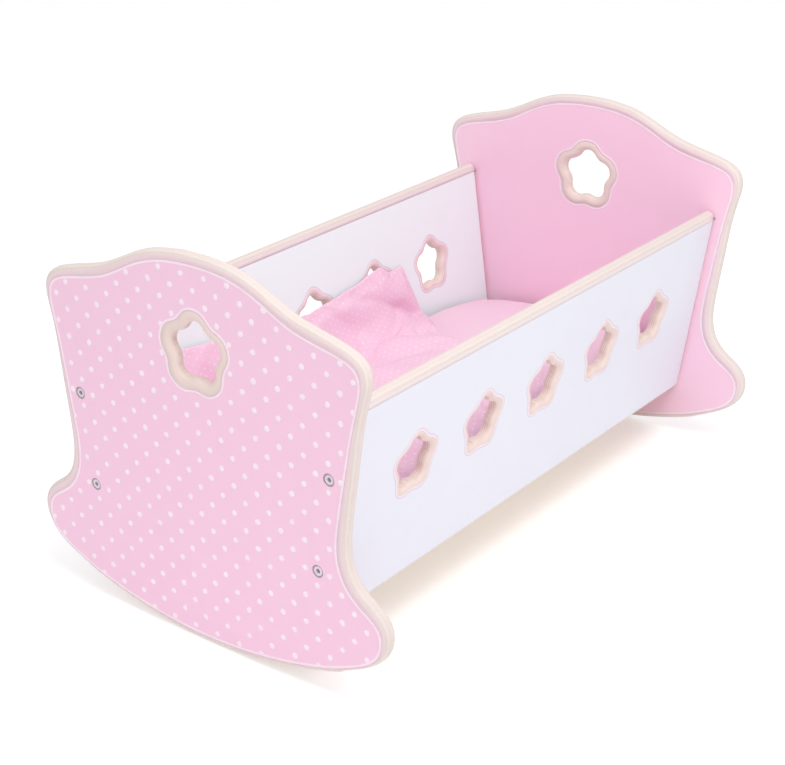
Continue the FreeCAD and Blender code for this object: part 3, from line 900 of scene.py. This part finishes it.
def mattress_mesh(inset):
    nx, ny, nz = 39, 95, 7
    us = np.linspace(-1, 1, nx)
    vs = np.linspace(-1, 1, ny)
    # rows a little denser at the rim
    us = np.sin(us * math.pi / 2 * 0.78) / math.sin(math.pi / 2 * 0.78)
    vs = np.sign(vs) * (1 - (1 - np.abs(vs)) ** 1.0)
    L = Y_HEAD_IN - GAP - inset
    verts, faces = [], []
    top = {}
    for j, v in enumerate(vs):
        for i, u in enumerate(us):
            y = v * L
            zt = mattress_top(0.093 * abs(u), y) - inset
            lim = inner_x(zt) - GAP - inset
            # round the plan corners
            x = u * lim
            cr = 0.012
            ax, ay = lim - abs(x), L - abs(y)
            if ax < cr and ay < cr:
                dx, dy = cr - ax, cr - ay
                r = math.hypot(dx, dy)
                m = max(dx, dy)
                if r > 1e-9:
                    k = m / r
                    x = math.copysign(lim - cr + dx * k, x)
                    y = math.copysign(L - cr + dy * k, y)
            top[i, j] = len(verts)
            verts.append([x, y, zt])
    ring = [(i, 0) for i in range(nx)] + [(nx - 1, j) for j in range(1, ny)] + \
           [(i, ny - 1) for i in range(nx - 2, -1, -1)] + [(0, j) for j in range(ny - 2, 0, -1)]
    for j in range(ny - 1):
        for i in range(nx - 1):
            faces.append((top[i, j], top[i + 1, j], top[i + 1, j + 1], top[i, j + 1]))
    prev = [top[k] for k in ring]
    loops = [list(prev)]
    zb = ZB + inset
    for r in range(1, nz + 1):
        f = r / nz
        cur = []
        for k in ring:
            p = verts[top[k]]
            z = p[2] * (1 - f) + zb * f
            lt = inner_x(p[2]) - GAP - inset
            lz = inner_x(z) - GAP - inset
            cur.append(len(verts))
            verts.append([p[0] * lz / lt, p[1], z])
        n = len(ring)
        for q in range(n):
            faces.append((prev[q], prev[(q + 1) % n], cur[(q + 1) % n], cur[q]))
        prev = cur
        loops.append(list(cur))
    bot = {k: prev[q] for q, k in enumerate(ring)}
    for j in range(1, ny - 1):
        for i in range(1, nx - 1):
            p = verts[top[i, j]]
            lt = inner_x(p[2]) - GAP - inset
            lz = inner_x(zb) - GAP - inset
            bot[i, j] = len(verts)
            verts.append([p[0] * lz / lt, p[1], zb])
    for j in range(ny - 1):
        for i in range(nx - 1):
            faces.append((bot[i, j], bot[i, j + 1], bot[i + 1, j + 1], bot[i + 1, j]))
    return np.array(verts), faces, top, loops, (nx, ny)


def new_soft(name, verts, faces):
    me = bpy.data.meshes.new(name)
    me.from_pydata([tuple(v) for v in verts], [], faces)
    bm = bmesh.new()
    bm.from_mesh(me)
    bmesh.ops.recalc_face_normals(bm, faces=bm.faces)
    bm.to_mesh(me)
    bm.free()
    me.update()
    for p in me.polygons:
        p.use_smooth = True
    o = bpy.data.objects.new(name, me)
    coll.objects.link(o)
    return o


def box_uv(o):
    """UVs in metres, by the direction each face looks."""
    me = o.data
    uv = me.uv_layers.new(name="UVMap")
    for p in me.polygons:
        n = p.normal
        a = max(range(3), key=lambda i: abs(n[i]) + (0.15 if i == 2 else 0))
        for li in p.loop_indices:
            c = me.vertices[me.loops[li].vertex_index].co
            uv.data[li].uv = (c.x, c.y) if a == 2 else ((c.y, c.z) if a == 0 else (c.x, c.z))


mv, mf, mtop, mloops, (mnx, mny) = mattress_mesh(0.0022)
mattress = new_soft("mattress", mv, mf)
rest, co = cloth_relax(mattress, 4.0, cap=0.0045, bend=2.0, tension=20.0)
# a few soft hollows where the filling settles, from fixed smooth noise
for i in range(len(co)):
    p = Vector(co[i])
    w = min(1.0, max(0.0, (p.z - D - 0.074) / 0.010))
    a = noise.noise(p * 16.0) * 0.0011 + noise.noise(p * 42.0 + Vector((5, 1, 2))) * 0.0004
    co[i, 2] += a * w
co = inside_tub(co)
mtop_idx = np.array([[mtop[i, j] for j in range(mny)] for i in range(mnx)])
# the upper face keeps to the crown of the pad
for i in range(mnx):
    for j in range(mny):
        k = mtop_idx[i, j]
        t = mattress_top(co[k, 0], co[k, 1])
        co[k, 2] = 0.25 * co[k, 2] + 0.75 * t
co = inside_tub(co)
write(mattress, co)
M_TOP = co[mtop_idx.ravel()].reshape(mnx, mny, 3)


def top_at(x, y):
    """Height of the finished mattress at x, y arrays (metres), by nearest grid cells."""
    ys = M_TOP[mnx // 2, :, 1]
    j = np.clip(np.searchsorted(ys, y) - 1, 0, mny - 2)
    ty = np.clip((y - ys[j]) / np.maximum(ys[j + 1] - ys[j], 1e-9), 0, 1)
    out = np.zeros(len(x))
    for q in range(len(x)):
        r0, r1 = M_TOP[:, j[q]], M_TOP[:, j[q] + 1]
        a = np.interp(x[q], r0[:, 0], r0[:, 2])
        b = np.interp(x[q], r1[:, 0], r1[:, 2])
        out[q] = a * (1 - ty[q]) + b * ty[q]
    return out


box_uv(mattress)
mattress.data.materials.append(mat_mattress)
sub = mattress.modifiers.new("smooth", "SUBSURF")
sub.levels = sub.render_levels = 1
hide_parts("mattress_cover", "mattress_filling")
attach(mattress, "mattress")


def tube(verts, faces, path, r, sides=6, closed=True):
    """Round cord along a path of 3D points."""
    P = np.array(path, float)
    n = len(P)
    if closed:
        T = np.roll(P, -1, 0) - np.roll(P, 1, 0)
    else:
        T = np.gradient(P, axis=0)
    T /= np.maximum(np.linalg.norm(T, axis=1)[:, None], 1e-12)
    base = len(verts)
    for i in range(n):
        a = np.cross(T[i], (0, 0, 1.0))
        if np.linalg.norm(a) < 1e-3:
            a = np.array([1.0, 0, 0])
        a /= np.linalg.norm(a)
        b = np.cross(T[i], a)
        taper = 1.0
        if not closed and i in (0, n - 1):
            taper = 0.45
        for k in range(sides):
            t = 2 * math.pi * k / sides
            verts.append(tuple(P[i] + (a * math.cos(t) + b * math.sin(t)) * r * taper))
    m = n if closed else n - 1
    for i in range(m):
        j = (i + 1) % n
        for k in range(sides):
            l = (k + 1) % sides
            faces.append((base + i * sides + k, base + i * sides + l, base + j * sides + l, base + j * sides + k))
    if not closed:
        faces.append(tuple(base + k for k in range(sides)))
        faces.append(tuple(base + (n - 1) * sides + k for k in range(sides)))


# corded seam round the side of the mattress
seam = co[np.array(mloops[3])]
v, f = [], []
tube(v, f, inside_tub(seam.copy(), 0.0012), 0.0011, 8)
cord = mesh_object("mattress_seam_cord", v, f, mat_mattress, "mattress")
uvl = cord.data.uv_layers.new(name="UVMap")
for li, lp in enumerate(cord.data.loops):
    c = cord.data.vertices[lp.vertex_index].co
    uvl.data[li].uv = (c.x + c.y, c.z)


# ------------------------------------------------------------------ quilt
Q_NEAR, Q_FAR, Q_RIGHT = -0.2284, 0.1275, 0.0842
NS, NT = 66, 104
TOP_Y = np.array([-228, -150, -113, -60, -11, 14, 32.3, 56.2, 75, 90.5, 100.3]) * MM
TOP_Z = np.array([151.5, 151.5, 146.5, 139.5, 135.6, 137.5, 139.2, 141, 144.5, 146, 142]) * MM + D
HALF_T = 0.0026


def fold_radius(y):
    return np.interp(y, [-0.228, -0.17, -0.11, -0.05, 0.0, 0.035, 0.064, 0.089, 0.111, 0.1275],
                     [0.018, 0.024, 0.020, 0.026, 0.030, 0.027, 0.026, 0.015, 0.007, 0.005])


def quilt_row(y_flat, t):
    """One cross-section: points from the right edge over the mattress and up the left side."""
    g = 0.0008
    n = 90
    xs = np.linspace(Q_RIGHT, -0.099, n)
    zs = top_at(xs, np.full(n, y_flat)) + g + HALF_T
    R = float(fold_radius(y_flat))
    # wall line, offset by the half thickness
    def wall(z):
        return -(inner_x(z) - g - HALF_T / CC)
    z0 = float(np.interp(-0.080, xs[::-1], zs[::-1]))
    xc = wall(z0)
    ang = math.pi / 2 - CANT                   # turn from flat to wall
    tan_len = R * math.tan(ang / 2)
    flat = [(x, z) for x, z in zip(xs, zs) if x > xc + tan_len]
    px, pz = flat[-1]
    cx, cz = xc + tan_len, z0
    # arc from direction -x turning up to the wall direction
    arc = []
    for k in range(1, 15):
        a = ang * k / 14
        arc.append((cx - R * math.sin(a), cz + R * (1 - math.cos(a))))
    zt = float(np.interp(y_flat, TOP_Y, TOP_Z)) if y_flat < 0.1003 else 0.139 + D
    ax, az = arc[-1]
    up = []
    for z in np.linspace(az, max(zt, az + 0.004), 24)[1:]:
        up.append((wall(z), z))
    return np.array(flat + arc + up)


def far_edge(x):
    """Place along the cradle of the quilt's far edge, by x; smoothed, metres."""
    return sum(np.interp(x + d, [-0.088, -0.074, -0.060, -0.046, -0.026, -0.005, 0.030, 0.085],
                         [Q_FAR, 0.1200, 0.1060, 0.0950, 0.0885, 0.0860, 0.0870, 0.0885])
               for d in (-0.006, -0.003, 0.0, 0.003, 0.006)) / 5.0


def quilt_mid():
    rows = np.zeros((NS, NT, 3))
    ts = np.linspace(0, 1, NT)
    for j, t in enumerate(ts):
        y = Q_NEAR + 0.0012 + t * (Q_FAR - Q_NEAR - 0.0012)
        sec = quilt_row(y, t)
        u = np.r_[0, np.cumsum(np.linalg.norm(np.diff(sec, axis=0), axis=1))]
        q = np.linspace(0, u[-1], NS)
        X, Z = np.interp(q, u, sec[:, 0]), np.interp(q, u, sec[:, 1])
        # where the quilt climbs the side its far corner is drawn back
        climb = np.clip((Z - D - 0.0975) / (0.139 - 0.0975), 0, 1)
        k = np.clip((y - 0.02) / (Q_FAR - 0.02), 0, 1)
        Y = y - (Q_FAR - 0.109) * climb * k ** 1.3
        # over the mattress the far edge slants towards the foot end
        q0 = Q_NEAR + 0.0012
        edge = far_edge(X)
        Y = q0 + (Y - q0) * (edge - q0) / (Q_FAR - q0)
        rows[:, j] = np.c_[X, Y, Z]
    return rows


def grid_normals(g):
    du = np.gradient(g, axis=0)
    dv = np.gradient(g, axis=1)
    n = np.cross(du, dv)
    n /= np.maximum(np.linalg.norm(n, axis=2)[..., None], 1e-12)
    if n[NS // 4, NT // 2, 2] < 0:
        n = -n
    return n


def bumpf(d, w):
    return np.exp(-(d / w) ** 2)


def seg_dist(Y, Z, a, b):
    """Signed distance and place along the line a-b in the (y, z) plane, mm."""
    a, b = np.array(a, float), np.array(b, float)
    L = np.linalg.norm(b - a)
    t = (b - a) / L
    dy, dz = Y - a[0], Z - a[1]
    along = (dy * t[0] + dz * t[1]) / L
    off = -dy * t[1] + dz * t[0]
    return off, along


def quilt_folds(g):
    """Height of the soft folds along the normal, metres, on the mid grid."""
    Xm, Ym, Zm = g[..., 0] * 1000, g[..., 1] * 1000, g[..., 2] * 1000 - D_MM
    h = np.zeros(Xm.shape)
    wall = np.clip((Zm - 100) / 14, 0, 1)
    flat = 1 - np.clip((Zm - 98) / 10, 0, 1)
    # crease from the side down to the far edge, with a fuller roll beside it
    o, a = seg_dist(Ym, Zm, (66, 122), (118, 94))
    m = np.clip(1.2 - np.abs(a - 0.5) * 1.5, 0, 1) * (Xm < -60)
    h += (-2.0 * bumpf(o, 5.0) + 1.4 * bumpf(o + 11, 8.0) + 0.9 * bumpf(o - 12, 8)) * m
    # rolls on the leaning part
    for (y0, z0, y1, z1, amp, w) in ((-120, 148, -70, 104, 1.8, 9), (-64, 140, -26, 100, -1.5, 6), (-46, 141, 4, 100, 1.9, 9),
                                     (2, 138, 30, 104, -1.4, 6), (20, 140, 52, 108, 1.5, 8), (-190, 150, -150, 100, 1.6, 10),
                                     (-150, 150, -118, 100, -1.4, 6)):
        o, a = seg_dist(Ym, Zm, (y0, z0), (y1, z1))
        m = np.clip(1.5 - np.abs(a - 0.5) * 1.8, 0, 1) * wall
        h += amp * bumpf(o, w) * m
    # long soft rolls on the flat part
    for (x0, y0, x1, y1, amp, w) in ((-78, 40, -20, 88, 1.6, 10), (-70, 20, 20, 80, -1.3, 9), (-60, -20, 40, 40, 1.5, 11),
                                     (-80, -60, 10, -10, -1.2, 10), (-40, -90, 60, -30, 1.4, 12), (-80, -130, 0, -90, 1.3, 11),
                                     (-20, -170, 70, -110, -1.2, 10), (0, 44, 78, 84, 1.2, 10), (20, 0, 80, 40, -1.1, 9),
                                     (-70, -190, 20, -160, 1.3, 11), (10, -215, 78, -180, 1.0, 9)):
        o, a = seg_dist(Xm, Ym, (x0, y0), (x1, y1))
        m = np.clip(1.5 - np.abs(a - 0.5) * 1.8, 0, 1) * flat
        h += amp * bumpf(o, w) * m
    for i in range(NS):
        for j in range(NT):
            p = Vector(g[i, j])
            h[i, j] += noise.noise(p * 30) * 1.1 + noise.noise(p * 75 + Vector((3, 9, 1))) * 0.45
    return h * MM


def border_mm(g):
    """Distance to the quilt's border along the cloth, mm, and arc lengths."""
    s = np.zeros(g.shape[:2])
    s[1:] = np.cumsum(np.linalg.norm(np.diff(g, axis=0), axis=2), axis=0)
    t = np.zeros(g.shape[:2])
    t[:, 1:] = np.cumsum(np.linalg.norm(np.diff(g, axis=1), axis=2), axis=1)
    d = np.minimum(np.minimum(s, s[-1:] - s), np.minimum(t, t[:, -1:] - t)) * 1000
    return d, s, t


mid = quilt_mid()
bd, arc_s, arc_t = border_mm(mid)
nrm = grid_normals(mid)
fold = quilt_folds(mid) * np.clip(bd / 14, 0.25, 1)
mid = mid + nrm * np.maximum(fold, -0.0012)[..., None]
half = (0.00105 + (HALF_T - 0.00105) * (1 - np.exp(-(bd / 7.0) ** 2))) 
half = half * (1 - 0.35 * bumpf(bd - 5.0, 1.6))
nrm = grid_normals(mid)
q_top = mid + nrm * half[..., None]
q_bot = mid - nrm * half[..., None]
verts = np.vstack([q_top.reshape(-1, 3), q_bot.reshape(-1, 3)])
K = NS * NT
idx = np.arange(K).reshape(NS, NT)
faces = []
for i in range(NS - 1):
    for j in range(NT - 1):
        faces.append((idx[i, j], idx[i + 1, j], idx[i + 1, j + 1], idx[i, j + 1]))
        faces.append((K + idx[i, j], K + idx[i, j + 1], K + idx[i + 1, j + 1], K + idx[i + 1, j]))
rim = [idx[i, 0] for i in range(NS)] + [idx[NS - 1, j] for j in range(1, NT)] + \
      [idx[i, NT - 1] for i in range(NS - 2, -1, -1)] + [idx[0, j] for j in range(NT - 2, 0, -1)]
for q in range(len(rim)):
    a, b = int(rim[q]), int(rim[(q + 1) % len(rim)])
    faces.append((a, b, K + b, K + a))
faces = [tuple(int(k) for k in fc) for fc in faces]
quilt = new_soft("quilt", verts, faces)
quilt_pin = np.concatenate([np.clip(1 - bd.ravel() / 5.0, 0, 1)] * 2) * 0.9
rest, co = cloth_relax(quilt, 1.2, frames=20, shrink=-0.03, pin=quilt_pin, cap=0.0035, bend=0.6, tension=18.0)


def clear_quilt(co):
    z = co[:, 2]
    lim = FOOT_X + TC * (z - FOOT_Z) - PLY / 2 / CC - 0.0006
    co[:, 0] = np.clip(co[:, 0], -lim, Q_RIGHT + 0.001)
    co[:, 1] = np.clip(co[:, 1], Y_FOOT_IN + 0.0015, 0.1290)
    ground = top_at(np.clip(co[:, 0], -0.0925, 0.0925), co[:, 1]) + 0.0005
    co[:, 2] = np.maximum(co[:, 2], ground)
    co[:, 2] = np.minimum(co[:, 2], 0.1545 + D)
    return co


co = clear_quilt(co)
write(quilt, co)
G_TOP = co[:K].reshape(NS, NT, 3)
G_BOT = co[K:].reshape(NS, NT, 3)
uv = quilt.data.uv_layers.new(name="UVMap")
us_, ts_ = arc_s.ravel(), arc_t.ravel()
for p in quilt.data.polygons:
    under = all(quilt.data.loops[li].vertex_index >= K for li in p.loop_indices)
    for li in p.loop_indices:
        k = quilt.data.loops[li].vertex_index
        kk = k % K
        uv.data[li].uv = (us_[kk] + (0.4 if under else 0.0), ts_[kk])
quilt.data.materials.append(mat_quilt)
sub = quilt.modifiers.new("smooth", "SUBSURF")
sub.levels = sub.render_levels = 1
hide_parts("quilt_cover", "quilt_wadding")
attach(quilt, "quilt")


def on_grid(G, s, t):
    """Point of the grid at arc lengths s, t (metres)."""
    fi = np.interp(s, arc_s[:, NT // 2], np.arange(NS))
    fj = np.interp(t, arc_t[NS // 3], np.arange(NT))
    i, j = min(int(fi), NS - 2), min(int(fj), NT - 2)
    a, b = fi - i, fj - j
    return (G[i, j] * (1 - a) * (1 - b) + G[i + 1, j] * a * (1 - b) + G[i, j + 1] * (1 - a) * b + G[i + 1, j + 1] * a * b)


# running stitch round the hem, both faces
v, f = [], []
S_END, T_END = arc_s[-1, NT // 2], arc_t[NS // 3, -1]
IN = 0.0052
corners = [(IN, IN), (S_END - IN, IN), (S_END - IN, T_END - IN), (IN, T_END - IN)]
gn = grid_normals(G_TOP)
gb = -grid_normals(G_BOT)
for c in range(4):
    a, b = np.array(corners[c]), np.array(corners[(c + 1) % 4])
    L = np.linalg.norm(b - a)
    n = int(L / 0.0036)
    for k in range(n):
        t0 = (k + 0.5) / n - 0.00125 / L
        t1 = (k + 0.5) / n + 0.00125 / L
        for G, N in ((G_TOP, gn), (G_BOT, gb)):
            path = []
            for w, lift in ((0, -0.0001), (0.33, 0.00022), (0.67, 0.00022), (1, -0.0001)):
                s, t = a + (b - a) * (t0 + (t1 - t0) * w)
                path.append(on_grid(G, s, t) + on_grid(N, s, t) * lift)
            tube(v, f, path, 0.00024, 5, closed=False)
st = mesh_object("quilt_hem_stitches", v, f, mat_thread, "quilt")


# ------------------------------------------------------------------ stage, light, camera
def floor_material():
    m = Mat("studio_floor")
    P = m.co.outputs["Object"]
    a = m.noise(P, 3.0, 4)
    b = m.noise(P, 180.0, 3)
    m.set(color=m.mix(m.step(a, 0.3, 0.7), srgb(250, 249, 250), srgb(247, 247, 248)), rough=m.lin(b, 0.3, 0.7, 0.62, 0.74),
          spec=0.2, normal=m.bump(b, 0.0001, 0.2))
    # a lit table: the floor glows a little, as a backlit sweep does
    m.put(m.p.inputs["Emission Color"], (1.0, 1.0, 1.0, 1.0))
    cam = m.node("ShaderNodeLightPath").outputs["Is Camera Ray"]
    m.put(m.p.inputs["Emission Strength"], m.fmix(cam, 0.12, 0.30))
    return m.m


def make_floor():
    n, R = 48, 9.0
    me = bpy.data.meshes.new("studio_floor")
    v = [(0, 0, 0)] + [(R * math.cos(2 * math.pi * i / n), R * math.sin(2 * math.pi * i / n), 0) for i in range(n)]
    me.from_pydata(v, [], [(0, i + 1, (i + 1) % n + 1) for i in range(n)])
    o = bpy.data.objects.new("studio_floor", me)
    coll.objects.link(o)
    me.materials.append(floor_material())
    o.location.z = -0.0004


make_floor()

world = bpy.data.worlds.new("studio")
scene.world = world
world.use_nodes = True
bg = world.node_tree.nodes["Background"]
bg.inputs[0].default_value = (1.0, 1.0, 1.0, 1.0)
bg.inputs[1].default_value = 0.685


def area(name, loc, target, size, power, color=(1, 1, 1)):
    d = bpy.data.lights.new(name, "AREA")
    d.shape = "RECTANGLE"
    d.size, d.size_y = size
    d.energy = power
    d.color = color
    o = bpy.data.objects.new(name, d)
    coll.objects.link(o)
    o.location = loc
    o.rotation_mode = "QUATERNION"
    o.rotation_quaternion = (Vector(target) - Vector(loc)).to_track_quat("-Z", "Y")
    o.visible_camera = False
    return o


area("top_softbox", (-0.25, -0.15, 2.3), (0, 0, 0.1), (2.2, 2.2), 3.5)
area("front_softbox", (-0.3, -2.2, 1.3), (0, 0, 0.12), (2.0, 1.6), 1.4)
area("right_softbox", (2.2, -0.2, 1.1), (0, 0, 0.12), (1.6, 1.6), 1.4)
area("tub_fill", (0.55, -0.36, 1.25), (-0.09, 0.12, 0.16), (0.65, 0.65), 7.6)

scene.view_settings.view_transform = "Standard"
scene.view_settings.look = "None"
scene.view_settings.exposure = 0.0

cam_d = bpy.data.cameras.new("camera")
cam = bpy.data.objects.new("camera", cam_d)
coll.objects.link(cam)
cam_d.sensor_fit = "HORIZONTAL"
cam_d.sensor_width = 36.0
cam_d.lens = 77.885
cam_d.clip_start, cam_d.clip_end = 0.05, 60.0
fwd = Vector((-0.59681974, 0.71471561, -0.36467492)).normalized()
r2 = Vector((0.77213898, 0.63517536, -0.01880591)).normalized()
u2 = r2.cross(fwd)
M = Matrix((r2, u2, -fwd)).transposed().to_4x4()
M.translation = Vector((0.66576, -0.94078, 0.60449 + D))
cam.matrix_world = M
scene.camera = cam


stand = bpy.data.objects.new("camera_stand", None)
coll.objects.link(stand)
stand.location = M.translation


def shift_from_place(prop, value):
    """The lens is shifted only while the camera is on its stand; from any other place it is
    centred, so that every other view is centred too."""
    fc = cam_d.driver_add(prop)
    fc.driver.type = "SUM"
    var = fc.driver.variables.new()
    var.type = "LOC_DIFF"
    var.targets[0].id = cam
    var.targets[1].id = stand
    for md in list(fc.modifiers):
        fc.modifiers.remove(md)
    for k, v in ((-0.05, value), (0.02, value), (0.05, 0.0), (0.2, 0.0)):
        fc.keyframe_points.insert(k, v).interpolation = "LINEAR"
    fc.extrapolation = "CONSTANT"
    fc.update()


shift_from_place("shift_x", (392.5 - 293.4946) / 785)
shift_from_place("shift_y", -(382.5 - 315.7034) / 785)
bpy.context.view_layer.update()
